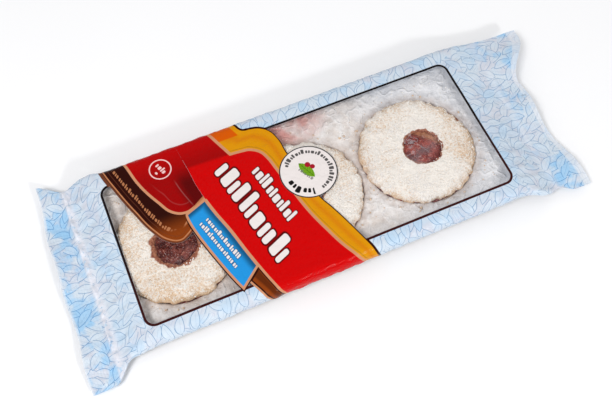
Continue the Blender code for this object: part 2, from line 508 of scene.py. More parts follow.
class Film(Recipe):  # the film's material, with distances to its outlines in millimetres
    def __init__(self, name):
        super().__init__(name)
        u, v, _ = self.parts(self.make("ShaderNodeUVMap", {"uv_map": "flatFilm"}))
        self.u = u * 1000.0
        self.v = v * 1000.0
        self.out = self.attribute("finOut")
        self.flat = self.vector(self.u, self.v)
        self.colour = None

    def paint(self, colour, mask):
        self.colour = self.mixColour(self.colour, inks[colour], mask)

    def turned(self, centre, degrees):  # the film's place in axes turned about a centre
        angle = math.radians(degrees)
        x, y = self.u - centre[0], self.v - centre[1]
        return (x * math.cos(angle) + y * math.sin(angle), y * math.cos(angle) - x * math.sin(angle))

    def outline(self, name):  # signed distance to a smooth line, positive on its axis's left
        points, degrees = bandPrint[name]
        places = sorted(rotated(point, math.radians(degrees)) for point in points)
        lowP, highP = places[0][0], places[-1][0]
        lowQ = min(place[1] for place in places) - 1.0
        highQ = max(place[1] for place in places) + 1.0
        scaled = [((p - lowP) / (highP - lowP), (q - lowQ) / (highQ - lowQ)) for p, q in places]
        p, q = self.turned((0.0, 0.0), degrees)
        reading = []
        for shift in (-1.0, 1.0):
            share = (p + (shift - lowP)) / (highP - lowP)
            curve = self.make("ShaderNodeFloatCurve", {"points": scaled}, {"Value": share})
            reading.append(curve * (highQ - lowQ) + lowQ)
        steepness = (reading[1] - reading[0]) * 0.5
        return (q - (reading[0] + reading[1]) * 0.5) / (steepness * steepness + 1.0) ** 0.5

    def side(self, start, stop):  # signed distance to a straight line, positive on its left
        length = math.hypot(stop[0] - start[0], stop[1] - start[1])
        rise, run = (stop[1] - start[1]) / length, (stop[0] - start[0]) / length
        return self.v * run - self.u * rise + (start[0] * rise - start[1] * run)

    def disc(self, centre, radius):
        x, y = self.u - centre[0], self.v - centre[1]
        return (x * x + y * y) ** 0.5 - radius

    def box(self, x, y, half, corner):
        dx = abs(x) - (half[0] - corner)
        dy = abs(y) - (half[1] - corner)
        outside = (dx.most(0.0) ** 2.0 + dy.most(0.0) ** 2.0) ** 0.5
        return outside + dx.most(dy).least(0.0) - corner

    def lens(self, p, q, length, half):  # a pointed leaf shape
        radius = (length * length / 4.0 + half * half) / (2.0 * half)
        q = abs(q) + (radius - half)
        return (p * p + q * q) ** 0.5 - radius

    def chance(self, value, seed):  # one random number for each whole step
        vector = self.vector(value.math("FLOOR"), seed)
        return self.make("ShaderNodeTexWhiteNoise", {"noise_dimensions": "2D"}, {"Vector": vector})

    def marks(self, x, y, pitch, half, seed, slant=0.0, count=0):
        # a row of plain rounded bars with one foot line, some short and some tall
        x = x + y * slant
        x = x + (x * (2.4 / pitch)).math("SINE") * (pitch * 0.16)
        tall = (self.chance(x / pitch, seed) - 0.62).beyond(0.02) * 0.34 + 0.66
        dx = abs((x % pitch) - pitch * 0.5)
        dy = abs(y + half[1] * (1.0 - tall)) - tall * half[1]
        corner = half[0] * 0.7
        dx = (dx - (half[0] - corner)).most(0.0)
        dy = (dy + corner).most(0.0)
        gap = (dx * dx + dy * dy) ** 0.5 - corner
        return gap.most(-x * 4.0).most((x - count * pitch) * 4.0) if count else gap


def leafLayer(film, shift, isEnd):  # one leaf to a cell, each pointing more or less outwards
    leaf = leafPrint
    u, v = film.u + shift, film.v + shift * 0.37
    cells = {"Vector": film.vector(u, v), "Scale": 1.0 / leaf["pitch"], "Randomness": 0.8}
    outlets = film.make("ShaderNodeTexVoronoi", {"voronoi_dimensions": "2D"}, cells).socket.node.outputs
    centreU, centreV, _ = film.parts(Value(film, outlets["Position"]))
    chance, depth, _ = film.parts(Value(film, outlets["Color"]))
    angle = (1.0 - isEnd) * (math.pi / 2.0) + (chance - 0.5) * leaf["spread"]
    cosine, sine = angle.math("COSINE"), angle.math("SINE")
    p = (u - centreU) * cosine + (v - centreV) * sine
    q = (v - centreV) * cosine - (u - centreU) * sine
    gap = film.lens(p, q + p * p * 0.03 - 0.4, leaf["length"], leaf["half"])
    vein = q.line(0.05) * gap.inside() * p.line(leaf["length"] * 0.3, 0.5) * 0.6
    return gap, gap.line(leaf["line"]).most(vein), depth


def printGround(film):  # pale film with leaves, soft clouds of colour and blank fin edges
    cloud = film.speckle(film.flat, 0.055, 3.0, 0.6)
    blotch = film.speckle(film.vector(film.v, film.u, 4.0), 0.10, 2.0)
    film.colour = film.mixColour(inks["pale"], inks["lilac"], blotch.ramp(0.44, 0.62) * 0.85)
    onFin = film.out.ramp(-0.15, 0.25)
    film.paint("skyBlue", cloud.ramp(0.47, 0.62) * (onFin * 0.65 + 0.15))
    centre, half = windowPrint["centre"], windowPrint["half"]
    sideGap, endGap = abs(film.v - centre[1]) - half[1], abs(film.u - centre[0]) - half[0]
    isEnd = (sideGap - endGap).inside(0.05)
    upper, upperLines, upperDepth = leafLayer(film, 0.0, isEnd)
    lower, lowerLines, lowerDepth = leafLayer(film, 300.0, isEnd)
    hidden = upper.beyond()
    blue = cloud.ramp(0.42, 0.58) * (onFin * 0.5 + 0.3) + 0.1
    film.paint("skyBlue", lower.inside() * lowerDepth * blue * 0.9)
    film.paint("pale", upper.inside() * 0.5)
    film.paint("skyBlue", upper.inside() * upperDepth * blue)
    echo = ((upper.least(lower) % 1.3) - 0.65).line(0.05) * 0.75
    echo = echo * upper.least(lower).ramp(0.2, 0.5) * film.speckle(film.flat, 0.09, 1.0).ramp(0.40, 0.55)
    lines = upperLines.most(lowerLines * hidden).most(echo)
    film.paint("leafLine", lines * 0.85)
    film.paint("leafDeep", lines * onFin * cloud.ramp(0.42, 0.6) * 0.45)
    rightward = film.u.beyond(5.0)
    film.paint("margin", (film.out + cloud * 0.2 + rightward * 0.16).ramp(1.02, 1.08) * 0.6)
    seal = film.out.ramp(-0.24, -0.02) * film.out.ramp(0.15, 0.02) * (0.9 - rightward * 0.65)
    film.paint("sealed", seal * film.speckle(film.flat, 0.45).ramp(0.30, 0.52))


def printWindow(film):  # the border of the clear window, and how clear each place is
    x, y = film.u - windowPrint["centre"][0], film.v - windowPrint["centre"][1]
    gap = film.box(x, y, windowPrint["half"], windowPrint["corner"])
    border = gap.line(windowPrint["line"])
    film.paint("border", border)
    film.paint("borderNear", border * film.v.ramp(10.0, -45.0) * 0.8)
    return gap.inside() * (1.0 - border)


def printBand(film):  # the sweep of brown, reds and amber across the pack
    swoosh, brownToRed, redEdge, amberInner, amberOuter = [
        film.outline(name) for name in ("swoosh", "brownToRed", "redEdge", "amberInner", "amberOuter")]
    startLine = film.side((-50.3, 51.6), (-43.7, 35.4))
    leftPart = swoosh.beyond() * redEdge.inside()
    rightPart = redEdge.beyond() * amberOuter.inside()
    onTop = (abs(film.v) - wrapEnd).inside()
    band = leftPart.most(rightPart) * onTop

    film.paint("darkBrown", band)
    shine = film.v.ramp(14.0, -2.0) * redEdge.ramp(-12.5, -14.5).most(redEdge.ramp(-9.0, -7.5) * 0.6)
    film.paint("brown", band * shine * 0.95)
    film.paint("gold", band * (redEdge + 11.2).line(0.22, 0.3) * film.v.ramp(9.0, 6.0) * 0.55)
    film.paint("darkRed", band * brownToRed.beyond())
    film.paint("farRed", band * brownToRed.beyond() * film.v.ramp(34.0, 56.0))
    deep = redEdge.ramp(-13.0, -4.5) * redEdge.inside() * film.v.ramp(40.0, 27.0) * brownToRed.beyond()
    film.paint("deepRed", band * deep * 0.95)
    # painted highlights: the faint pale arc and the thin pale streak on the dark red stand in for gloss on
    # the film
    arc = (brownToRed - 5.6).line(0.25, 0.5) * film.v.ramp(38.0, 24.0) * redEdge.ramp(-7.0, -9.0)
    paintedStreakHighlight = (redEdge + 9.0 + (film.v - 24.0) * 0.12).line(0.18, 0.5)
    paintedStreakHighlight = paintedStreakHighlight * film.v.ramp(33.0, 28.0) * film.v.ramp(11.0, 15.0)
    film.paint("pink", band * (arc * 0.06).most(paintedStreakHighlight * 0.14))
    sharp = (film.u + 47.0).beyond(2.0)
    beforeAmber = amberInner.inside() * sharp + amberInner.inside(1.5) * (1.0 - sharp)
    film.paint("red", rightPart * onTop * beforeAmber)
    amber = rightPart * onTop * amberInner.beyond() * startLine.beyond()
    film.paint("amber", amber)
    middle = amberInner / (amberInner - amberOuter).most(0.5)
    film.paint("amberDeep", amber * (middle - 0.56).line(0.10, 0.16) * 0.6)
    film.paint("olive", amber * (amberInner - 1.9).line(0.22, 0.3) * 0.55)
    corner = (film.v - 45.8).beyond(0.4) * (film.u + 36.5 + (film.v - 50.0) * 0.4).inside(0.4)
    film.paint("orange", amber * corner)

    beforeRed = redEdge.inside()
    film.paint("rimBrown", swoosh.line(0.95) * beforeRed * onTop * (film.u + 79.5).inside(1.0))
    film.paint("gold", band * (swoosh - 1.7).line(0.40) * beforeRed)
    film.paint("rimBrown", band * (swoosh - 4.3).line(0.16, 0.2) * beforeRed * 0.7)
    film.paint("tan", band * brownToRed.line(0.78) * beforeRed)
    film.paint("tan", band * amberInner.line(0.85) * (film.u + 44.4).beyond(0.3) * redEdge.beyond())
    film.paint("tan", band * startLine.line(0.9) * amberInner.beyond() * redEdge.beyond())
    film.paint("darkBrown", amberOuter.line(0.68) * onTop * (film.u + 60.0).beyond())
    dashes = film.marks(film.turned((0.0, 0.0), -58.0)[0], swoosh - 7.4, 1.9, (0.62, 1.25), 3.0, 0.2)
    film.paint("gold", dashes.inside() * film.v.ramp(53.0, 51.0) * film.v.ramp(1.0, 3.5) * leftPart * 0.85)
    return band, redEdge


def printPanel(film, redEdge):  # the blue panel and the brown point under it
    blueEdge = film.outline("blueEdge")
    top = film.side((-80.4, 8.6), (-67.6, 13.4))
    foot = film.side((-66.4, -45.8), (-56.6, -38.0))
    wedgeEdge = film.side((-61.9, -43.0), (-53.4, -61.0))
    onTop = (abs(film.v) - wrapEnd).inside()

    wedge = (-wedgeEdge).most(redEdge).most(foot)
    film.paint("darkBrown", (wedge - 0.5).inside() * onTop)
    lit = wedgeEdge.ramp(5.2, 2.6).most(redEdge.ramp(-2.6, -1.0)).most(0.4)
    film.paint("brown", (wedge + 1.4).inside() * onTop * lit)
    film.paint("tan", wedge.line(0.55) * wedgeEdge.ramp(1.6, 0.6) * onTop)

    panel = (-blueEdge).most(redEdge).most(top).most(-foot)
    film.paint("darkBrown", (panel - 0.95).inside() * redEdge.inside() * (film.v - 5.0).inside(2.0))
    film.paint("tan", (panel - 0.2).inside() * redEdge.inside())
    inner = (panel + 1.15).inside()
    film.paint("blue", inner)
    shade = redEdge.ramp(-6.0, -1.6).most(top.ramp(-5.0, -1.6))
    film.paint("blueShade", inner * shade * 0.8)
    x, y = film.turned((-72.6, 2.0), -74.0)
    rows = film.marks(x - 1.0, y - 2.0, 1.8, (0.58, 1.45), 5.0, 0.2, 17)
    rows = rows.least(film.marks(x - 1.0, y + 2.4, 1.8, (0.58, 1.45), 6.0, 0.2, 19))
    film.paint("blueShade", (rows - 0.35).inside(0.3) * 0.7)
    film.paint("white", rows.inside())
    film.paint("tan", redEdge.line(0.72) * (film.v - 13.2).inside(0.4) * onTop)
    return ((panel - 0.95).inside() * redEdge.inside()).most((wedge - 0.5).inside() * onTop)


def printMarks(film):  # rounded bars, a ring and small signs in place of the words
    for start, turn, pitch, half, seed, outline in rowPrint:
        x, y = film.turned(start, turn)
        bars = film.marks(x, y, pitch, half, seed, 0.2, rowBars)
        film.paint("deepRed", (bars - outline).inside(0.3))
        film.paint("white", bars.inside())
    x, y = film.turned(ringPrint["centre"], ringPrint["turn"])
    bars = film.marks(x + 3.9, y - 0.9, 1.95, (0.68, 1.7), 14.0, 0.0, 4)
    bars = bars.least(film.box(x - 0.4, y + 3.3, (0.9, 0.65), 0.6))
    ring = film.disc(ringPrint["centre"], ringPrint["radius"]).line(ringPrint["line"])
    film.paint("pink", ring.most(bars.inside()))


def printBadge(film):  # a white disc with a leaf, two berries and rows of small bars
    centre = badgePrint["centre"]
    x, y = film.turned(centre, 0.0)
    gap = film.disc(centre, badgePrint["radius"])
    film.paint("white", gap.inside())
    film.paint("black", (gap + 0.3).line(0.34))
    turn = y.math("ARCTAN2", x)
    small = film.marks(turn * 12.6, gap + 3.5, 1.9, (0.66, 1.45), 8.0)
    bold = film.marks(turn * 12.6, gap + 3.9, 3.2, (1.1, 2.2), 9.0)
    film.paint("black", small.inside() * (turn - 0.6).line(1.95, 0.02) * 0.9)
    film.paint("black", bold.inside() * (turn + 2.35).line(0.66, 0.02))
    p, q = film.turned((centre[0] - 0.6, centre[1] + 1.2), -66.0)
    leaf = film.lens(p, q, 13.0, 2.9)
    film.paint("leaf", leaf.inside())
    film.paint("leafDark", leaf.inside() * q.line(0.18).most(((p + abs(q) * 1.2) % 2.0 - 1.0).line(0.16)))
    for spot, size in badgePrint["berries"]:
        film.paint("berry", film.disc((centre[0] + spot[0], centre[1] + spot[1]), size).inside())
    p, q = film.turned((centre[0] - 4.6, centre[1] + 3.6), -62.0)
    row = film.marks(p, q, 1.5, (0.5, 0.9), 11.0, 0.0, 7)
    film.paint("grey", row.inside() * 0.8)
    return gap.inside()


def filmMaterial():
    film = Film("printedFilm")
    printGround(film)
    clear = printWindow(film)
    band, redEdge = printBand(film)
    panel = printPanel(film, redEdge)
    printMarks(film)
    badge = printBadge(film)
    clear = clear * (1.0 - band) * (1.0 - panel) * (1.0 - badge)

    # painted highlights: thin white streaks added to the clear film's haze stand in for glints on its
    # wrinkles
    ridges = 1.0 - abs(film.speckle(film.flat, 0.07, 3.0, 0.6) * 2.0 - 1.0)
    paintedGlintStreaks = ridges.ramp(0.958, 1.0) * film.speckle(film.flat, 0.03, 1.0).ramp(0.44, 0.60)
    hazy = film.u.ramp(-60.0, 0.0) * 0.7 + 0.3
    haze = film.speckle(film.flat, 0.05, 3.0, 0.65).ramp(0.46, 0.74)
    hazeAndPaintedGlints = (haze * 0.10 + paintedGlintStreaks * 0.22 + 0.015) * hazy
    film.colour = film.mixColour(film.colour, tint(232, 232, 238), clear)
    crinkle = film.speckle(film.flat, 0.16, 3.0, 0.6) * 0.6 + film.speckle(film.flat, 0.7, 1.0) * 0.10
    return film.finish({
        "Base Color": film.colour,
        "Roughness": 0.13 - clear * 0.03,
        "Specular IOR Level": 0.08,
        "Alpha": 1.0 - clear * (1.0 - hazeAndPaintedGlints),
        "Normal": film.bump(crinkle, 0.0016),
    })


print("film: the upper sheet and its print")
filmWrap = addPiece(filmMesh(), filmMaterial())
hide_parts("biscuit_pack")

# ---- the back seam under the pack ----
backSeam = {
    "middle": 0.0010,
    "halfWidth": 0.0058,
    "thickness": 0.00022,
    "drop": 0.00028,
    "fray": 0.0003,             # how far its edges stray
    "ripple": 0.0001,
    "rows": 8,
    "reach": 0.9,               # how far it runs out over a fin
}


def seamMesh():
    stations = [station for station in filmStations() if station[2] < backSeam["reach"]]
    strip = bmesh.new()
    bmesh.ops.create_grid(strip, x_segments=len(stations) - 1, y_segments=backSeam["rows"], size=0.5)
    for vertex in strip.verts:
        station = stations[round((vertex.co.x + 0.5) * (len(stations) - 1))]
        across = vertex.co.y * 2.0
        point = filmPoint(station, ("near", 0.0, 0.0), False)
        wave = 0.6 * math.sin(point.x * 900.0) + bumps(point.x, across * 0.004, 0.0, 0.006)
        edge = backSeam["fray"] * bumps(point.x, 0.0, across, 0.02)
        rise = filmCrease(point, station, ("near", 0.0, 0.0), False).z
        y = backSeam["middle"] + across * (backSeam["halfWidth"] + edge)
        z = point.z + rise - backSeam["drop"] + backSeam["ripple"] * wave
        vertex.co = Vector((point.x, y, z))
    bmesh.ops.recalc_face_normals(strip, faces=strip.faces[:])
    bmesh.ops.solidify(strip, geom=strip.faces[:], thickness=backSeam["thickness"])
    bmesh.ops.recalc_face_normals(strip, faces=strip.faces[:])
    return toMesh("backSeam", strip)


def seamMaterial():
    recipe = Recipe("seamFilm")
    place = recipe.place()
    x = recipe.parts(place)[0]
    cloud = recipe.speckle(place, 60.0, 3.0)
    colour = recipe.mixColour(inks["pale"], inks["skyBlue"], cloud.ramp(0.4, 0.65) * 0.6)
    ribs = ((x * 1000.0) % 1.5 - 0.75).line(0.3, 0.3)
    colour = recipe.mixColour(colour, inks["lilac"], ribs * 0.5)
    return recipe.finish({"Base Color": colour, "Roughness": 0.3, "Normal": recipe.bump(ribs, 0.0001)})


print("film: the back seam")
addPiece(seamMesh(), seamMaterial())

# ---- the tray under the biscuits ----
tray = {
    "near": -0.0500,
    "far": 0.0510,
    "left": -0.1250,
    "right": 0.1060,
    "floor": 0.0013,
    "land": 0.0086,             # how far the tray rises between its wells
    "rim": 0.0105,
    "rimWidth": 0.0040,
    "wellGap": -0.0030,         # its soft wells press against the biscuits
    "wellSlope": 0.0032,
    "paintedShadeReach": 0.0075,       # how far painted shade darkens it round a biscuit
    "swell": 0.0007,
    "wrinkle": 0.0004,
    "lift": 0.0006,
    "columns": 200,
    "rows": 96,
    "thickness": 0.0004,
}


def trayEdge(x, y):  # distance in from the tray's nearest edge
    return min(x - tray["left"], tray["right"] - x, y - tray["near"], tray["far"] - y)


def trayHeight(x, y):
    reach = pack["biscuitRadius"] + tray["wellGap"]
    reach += tray["swell"] * bumps(x, y, 0.6, 0.007)
    land = tray["land"] * smooth((nearestBiscuit(x, y) - reach) / tray["wellSlope"])
    land += tray["swell"] * bumps(x, y, 0.0, 0.012) + tray["wrinkle"] * bumps(x, y, 0.3, 0.004)
    rim = (tray["rim"] - tray["floor"]) * smooth(1.0 - trayEdge(x, y) / tray["rimWidth"])
    return tray["floor"] + max(land + tray["lift"], rim)


def trayMesh():
    sheet = bmesh.new()
    bmesh.ops.create_grid(sheet, x_segments=tray["columns"], y_segments=tray["rows"], size=0.5)
    shadeLayer = sheet.verts.layers.float.new("shade")
    for vertex in sheet.verts:
        x = mix(tray["left"], tray["right"], vertex.co.x + 0.5)
        y = mix(tray["near"], tray["far"], vertex.co.y + 0.5)
        vertex.co = (x, y, trayHeight(x, y))
        gap = nearestBiscuit(x, y) - pack["biscuitRadius"]
        vertex[shadeLayer] = 1.0 - smooth(gap / tray["paintedShadeReach"])
    bmesh.ops.recalc_face_normals(sheet, faces=sheet.faces[:])
    bmesh.ops.solidify(sheet, geom=sheet.faces[:], thickness=tray["thickness"])
    bmesh.ops.recalc_face_normals(sheet, faces=sheet.faces[:])
    return toMesh("tray", sheet)


def trayMaterial():
    recipe = Recipe("trayPlastic")
    place = recipe.place()
    x, y, _ = recipe.parts(place)
    mottle = recipe.speckle(place, 110.0, 4.0, 0.65)
    dust = recipe.speckle(place, 46.0, 5.0, 0.72).ramp(0.40, 0.64)
    cool = recipe.mixColour(tint(206, 207, 212), tint(232, 232, 236), mottle.ramp(0.35, 0.65))
    warm = recipe.mixColour(tint(198, 186, 179), tint(226, 216, 209), mottle.ramp(0.35, 0.65))
    colour = recipe.mixColour(warm, cool, x.ramp(0.022, 0.060))
    colour = recipe.mixColour(colour, tint(242, 240, 240), dust * 0.6)
    wrinkles = (1.0 - abs(recipe.speckle(place, 80.0, 2.0, 0.6) * 2.0 - 1.0)).ramp(0.88, 1.0)
    # painted highlight: the wrinkles' ridges are painted lighter
    colour = recipe.mixColour(colour, tint(248, 248, 250), wrinkles * 0.3)
    # a reddish tint in a patch towards the far edge, under the red of the band
    reddishPatch = (((x + 0.018) / 0.034) ** 2.0 + ((y - 0.043) / 0.016) ** 2.0).ramp(1.7, 0.1)
    stain = reddishPatch * recipe.speckle(place, 70.0, 3.0).ramp(0.24, 0.56)
    colour = recipe.mixColour(colour, tint(204, 108, 98), stain * 0.72)
    # painted shade: darker and browner close round each biscuit, in mottled patches
    shade = recipe.attribute("shade") * recipe.speckle(place, 260.0, 3.0, 0.7).ramp(0.25, 0.60)
    colour = recipe.mixColour(colour, tint(164, 142, 130), shade * 0.55)
    grain = recipe.speckle(place, 1500.0, 2.0)
    height = mottle + grain * 0.2 + wrinkles * 0.25
    return recipe.finish({
        "Base Color": colour,
        "Roughness": 0.34 + dust * 0.4,
        "Normal": recipe.bump(height, 0.0014),
    })


print("tray")
addPiece(trayMesh(), trayMaterial())

# ---- the biscuits ----
biscuit = {
    "floor": 0.0021,            # the underside, on the tray
    "split": 0.0084,            # where the lower biscuit ends
    "jam": 0.0010,              # thickness of the jam between the two
    "top": 0.0154,
    "holeWander": 0.0009,       # how far the hole's edge strays from a circle
    "topEdge": 0.0070,          # width and drop of the rounding of the upper biscuit
    "topDrop": 0.0046,
    "lowEdge": 0.0012,
    "dome": 0.0003,
    "lump": 0.0008,             # the baked skin: lumps, pits and grain, rougher towards the rim
    "pit": 0.0010,
    "grain": 0.0002,
    "rimRoughness": 1.1,
    "edgeWaves": ((0.0007, 0.0, 0.6), (0.0014, 5.0, 0.19), (0.0010, 8.0, 0.08)),
    "edgeShift": -0.0002,
    "turns": 240,
}
jam = {
    "overlap": 0.0004,          # how far it presses into both biscuits
    "inset": 0.0008,            # how far its rim stays inside the biscuits' own
    "crownGap": 0.0002,         # from the top of the biscuit down to the dome
    "crownDrop": 0.0011,        # how much the dome falls towards the hole's edge
    "lump": 0.0013,
    "rimWander": 0.0015,
    "turns": 150,
}
biscuitKinds = [                # each biscuit's hole, how far jam has soaked out of it, and a flatter side
    {"name": "Left", "hole": 0.0118, "shift": (0.0003, -0.0019), "soak": 0.0027, "seed": 3.0,
     "flatAngle": 2.0, "flatDepth": 0.0},
    {"name": "Middle", "hole": 0.0110, "shift": (0.0, 0.0), "soak": 0.0015, "seed": 17.0,
     "flatAngle": 4.0, "flatDepth": 0.0008},
    {"name": "Right", "hole": 0.0110, "shift": (0.0024, -0.0011), "soak": 0.0011, "seed": 31.0,
     "flatAngle": 0.75, "flatDepth": 0.0010},
]


def arc(centreR, centreZ, radiusR, radiusZ, start, stop, steps):  # rounding of a profile, in degrees
    points = []
    for step in range(steps + 1):
        angle = math.radians(mix(start, stop, step / steps))
        points.append((centreR + radiusR * math.cos(angle), centreZ + radiusZ * math.sin(angle)))
    return points


def ringProfile(hole, outer, low, high):  # a biscuit with a hole, as (radius, height) round one side
    edge, drop, foot = biscuit["topEdge"], biscuit["topDrop"], biscuit["lowEdge"]
    points = [(mix(outer - foot, hole, step / 6), low) for step in range(7)]
    points += arc(hole + 0.0012, high - 0.0012, 0.0012, 0.0012, 180.0, 90.0, 5)
    points += [(mix(hole + 0.0012, outer - edge, step / 17), high) for step in range(1, 17)]
    points += arc(outer - edge, high - drop, edge, drop, 90.0, 0.0, 12)
    return points + arc(outer - foot, low + foot, foot, foot, 0.0, -90.0, 4)[:-1]


def discProfile(outer, low, high):
    foot = biscuit["lowEdge"]
    points = [(mix(0.0, outer - foot, step / 8), low) for step in range(8)]
    points += arc(outer - foot, low + foot, foot, foot, -90.0, 0.0, 4)
    points += arc(outer - foot, high - foot, foot, foot, 0.0, 90.0, 4)
    return points + [(mix(outer - foot, 0.0, step / 8), high) for step in range(1, 9)]


def spun(profile, isClosed, turns):
    shape = bmesh.new()
    ring = [shape.verts.new((radius, 0.0, height)) for radius, height in profile]
    pairs = list(zip(ring, ring[1:]))
    if isClosed:
        pairs.append((ring[-1], ring[0]))
    edges = [shape.edges.new(pair) for pair in pairs]
    bmesh.ops.spin(shape, geom=ring + edges, cent=(0.0, 0.0, 0.0), axis=(0.0, 0.0, 1.0),
                   angle=2.0 * math.pi, steps=turns, use_merge=True, use_duplicate=False)
    bmesh.ops.remove_doubles(shape, verts=shape.verts[:], dist=0.000003)
    bmesh.ops.recalc_face_normals(shape, faces=shape.faces[:])
    return shape


def edgeWander(angle, kind):  # how far a baked edge strays from a true circle
    x, y, seed = math.cos(angle), math.sin(angle), kind["seed"]
    wander = biscuit["edgeShift"]
    for height, shift, size in biscuit["edgeWaves"]:
        wander += height * bumps(x, y, seed + shift, size)
    return wander - kind["flatDepth"] * max(math.cos(angle - kind["flatAngle"]), 0.0) ** 6


def holeWander(angle, kind):
    x, y, seed = math.cos(angle), math.sin(angle), kind["seed"] + 40.0
    return biscuit["holeWander"] * (bumps(x, y, seed, 0.7) + 0.7 * bumps(x, y, seed, 0.22))


def roomUnder(x, y):  # the height that stays clear of the film and its creases
    slope = max((leftEnd["shoulder"] - x) / (leftEnd["shoulder"] - leftEnd["seal"]), 0.0)
    slope = min(slope, 1.0)
    drop = 0.65 * slope + 0.35 * smooth(slope)
    crease = 0.0005 + creases["pleat"] * math.sin(math.pi * slope) ** 0.7
    return mix(pack["height"] - filmSag(x, y), leftEnd["height"]["near"], drop) - crease


def crumble(shape, kind, amount):  # baked unevenness: broad lumps, pits and a grainy skin
    shape.normal_update()
    moves = []
    seed = kind["seed"]
    for vertex in shape.verts:
        x, y, z = vertex.co
        lump = 0.5 * bumps(x, y, z + seed, 0.011) + 0.5 * bumps(x, y, z + seed, 0.0045)
        pit = max(bumps(x, y, z + seed * 2.0, 0.0030) - 0.25, 0.0)
        grain = bumps(x, y, z + seed * 3.0, 0.0014)
        rise = biscuit["lump"] * lump - biscuit["pit"] * pit + biscuit["grain"] * grain
        rough = 1.0 + biscuit["rimRoughness"] * smooth((math.hypot(x, y) - 0.030) / 0.004)
        moves.append(vertex.normal * (amount * rough * rise))
    for vertex, move in zip(shape.verts, moves):
        vertex.co += move


def topBiscuitMesh(kind, centre):
    low = biscuit["split"] + biscuit["jam"]
    outer, hole = pack["biscuitRadius"], kind["hole"]
    shape = spun(ringProfile(hole, outer, low, biscuit["top"]), True, biscuit["turns"])
    stainLayer = shape.verts.layers.float.new("stain")
    holeX, holeY = kind["shift"]
    for vertex in shape.verts:
        radius, angle = math.hypot(vertex.co.x, vertex.co.y), math.atan2(vertex.co.y, vertex.co.x)
        outward = (radius - hole) / (outer - hole)
        moved = radius + holeWander(angle, kind) * smooth(1.0 - outward * 4.0)
        moved += edgeWander(angle, kind) * smooth(outward * 1.5)
        ray = 1.0 + 0.6 * bumps(math.cos(angle), math.sin(angle), kind["seed"], 0.3)
        soak = kind["soak"] * (ray + 0.35 * bumps(math.cos(angle), math.sin(angle), kind["seed"], 0.11))
        vertex[stainLayer] = smooth(1.0 - (radius - hole - soak * 0.6) / (soak * 0.8))
        inward = 1.0 - smooth(outward)
        vertex.co.x = moved * math.cos(angle) + holeX * inward
        vertex.co.y = moved * math.sin(angle) + holeY * inward
        dome = biscuit["dome"] * (1.0 - outward * outward)
        vertex.co.z += dome * (1.0 if vertex.co.z > low + 0.002 else 0.0)
    crumble(shape, kind, 1.0)
    bmesh.ops.translate(shape, verts=shape.verts[:], vec=(centre[0], centre[1], 0.0))
    for vertex in shape.verts:
        vertex.co.z = min(vertex.co.z, roomUnder(vertex.co.x, vertex.co.y))
    return toMesh("topBiscuit" + kind["name"], shape)


def lowBiscuitMesh(kind, centre):
    outer = pack["biscuitRadius"] - 0.0002
    shape = spun(discProfile(outer, biscuit["floor"], biscuit["split"]), False, biscuit["turns"])
    shape.verts.layers.float.new("stain")
    lower = {**kind, "seed": kind["seed"] + 50.0}
    for vertex in shape.verts:
        radius, angle = math.hypot(vertex.co.x, vertex.co.y), math.atan2(vertex.co.y, vertex.co.x)
        if radius > 0.0:
            scale = 1.0 + edgeWander(angle, lower) * smooth(radius / outer) / radius
            vertex.co.x *= scale
            vertex.co.y *= scale
    crumble(shape, lower, 0.8)
    bmesh.ops.translate(shape, verts=shape.verts[:], vec=(centre[0], centre[1], 0.0))
    return toMesh("lowBiscuit" + kind["name"], shape)


def biscuitMaterial():
    recipe = Recipe("sugaredBiscuit")
    place = recipe.place()
    stain = recipe.attribute("stain")
    x, _, z = recipe.parts(place)
    drift = recipe.speckle(place, 26.0, 1.0)
    broad = recipe.speckle(place, 95.0, 3.0, 0.6)
    fine = recipe.speckle(place, 760.0, 3.0, 0.7)
    grain = recipe.speckle(place, 1900.0, 2.0, 0.6)
    baked = recipe.mixColour(tint(208, 170, 132), tint(234, 204, 170), grain.ramp(0.35, 0.65))
    cover = (drift - 0.5) * 1.6 + (broad - 0.5) * 1.6 + (fine - 0.5) * 2.4 + (grain - 0.5) * 1.4
    bareAndShadedSide = x.ramp(0.074, 0.086) * 0.5 + x.ramp(-0.05, -0.07) * 0.35  # less sugar on the left biscuit, and on the right biscuit's right side, where it is partly painted shade
    cover = cover + z.ramp(0.0095, 0.0152) * 1.1 - 0.32 - bareAndShadedSide
    colour = recipe.mixColour(baked, tint(252, 245, 237), cover.ramp(-0.25, 1.10))
    soaked = recipe.mixColour(tint(124, 58, 42), tint(186, 126, 96), fine.ramp(0.35, 0.65))
    colour = recipe.mixColour(colour, soaked, (stain + fine * 0.5 - 0.25).ramp(0.15, 0.75))
    height = fine * 0.7 + grain * 0.5 + broad * 1.5
    return recipe.finish({
        "Base Color": colour,
        "Roughness": 0.85,
        "Specular IOR Level": 0.25,
        "Normal": recipe.bump(height, 0.0013),
    })


def jamMaterial():
    recipe = Recipe("jam")
    place = recipe.place()
    x, y, _ = recipe.parts(place)
    cloud = recipe.speckle(place, 200.0, 3.0, 0.6)
    flecks = recipe.speckle(place, 800.0, 2.0, 0.6)
    dark = recipe.mixColour(tint(76, 18, 12), tint(130, 58, 46), cloud.ramp(0.36, 0.64))
    rosy = recipe.mixColour(tint(100, 20, 16), tint(160, 62, 50), cloud.ramp(0.36, 0.64))
    colour = recipe.mixColour(dark, rosy, x.ramp(-0.03, 0.03))
    clearSide = (x + y).ramp(0.0655, 0.0715) * 0.7  # thin jam lets the biscuit's colour through
    colour = recipe.mixColour(colour, tint(196, 138, 98), clearSide)
    colour = recipe.mixColour(colour, tint(210, 150, 130), flecks.ramp(0.58, 0.72) * 0.6)
    return recipe.finish({
        "Base Color": colour,
        "Roughness": 0.10 + cloud * 0.16,
        "Specular IOR Level": 0.3,
        "Subsurface Weight": 0.08,
        "Subsurface Radius": (0.004, 0.0012, 0.0008),
        "Subsurface Scale": 0.3,
        "Coat Weight": 0.2,
        "Normal": recipe.bump(cloud + flecks * 0.6, 0.0026),
    })


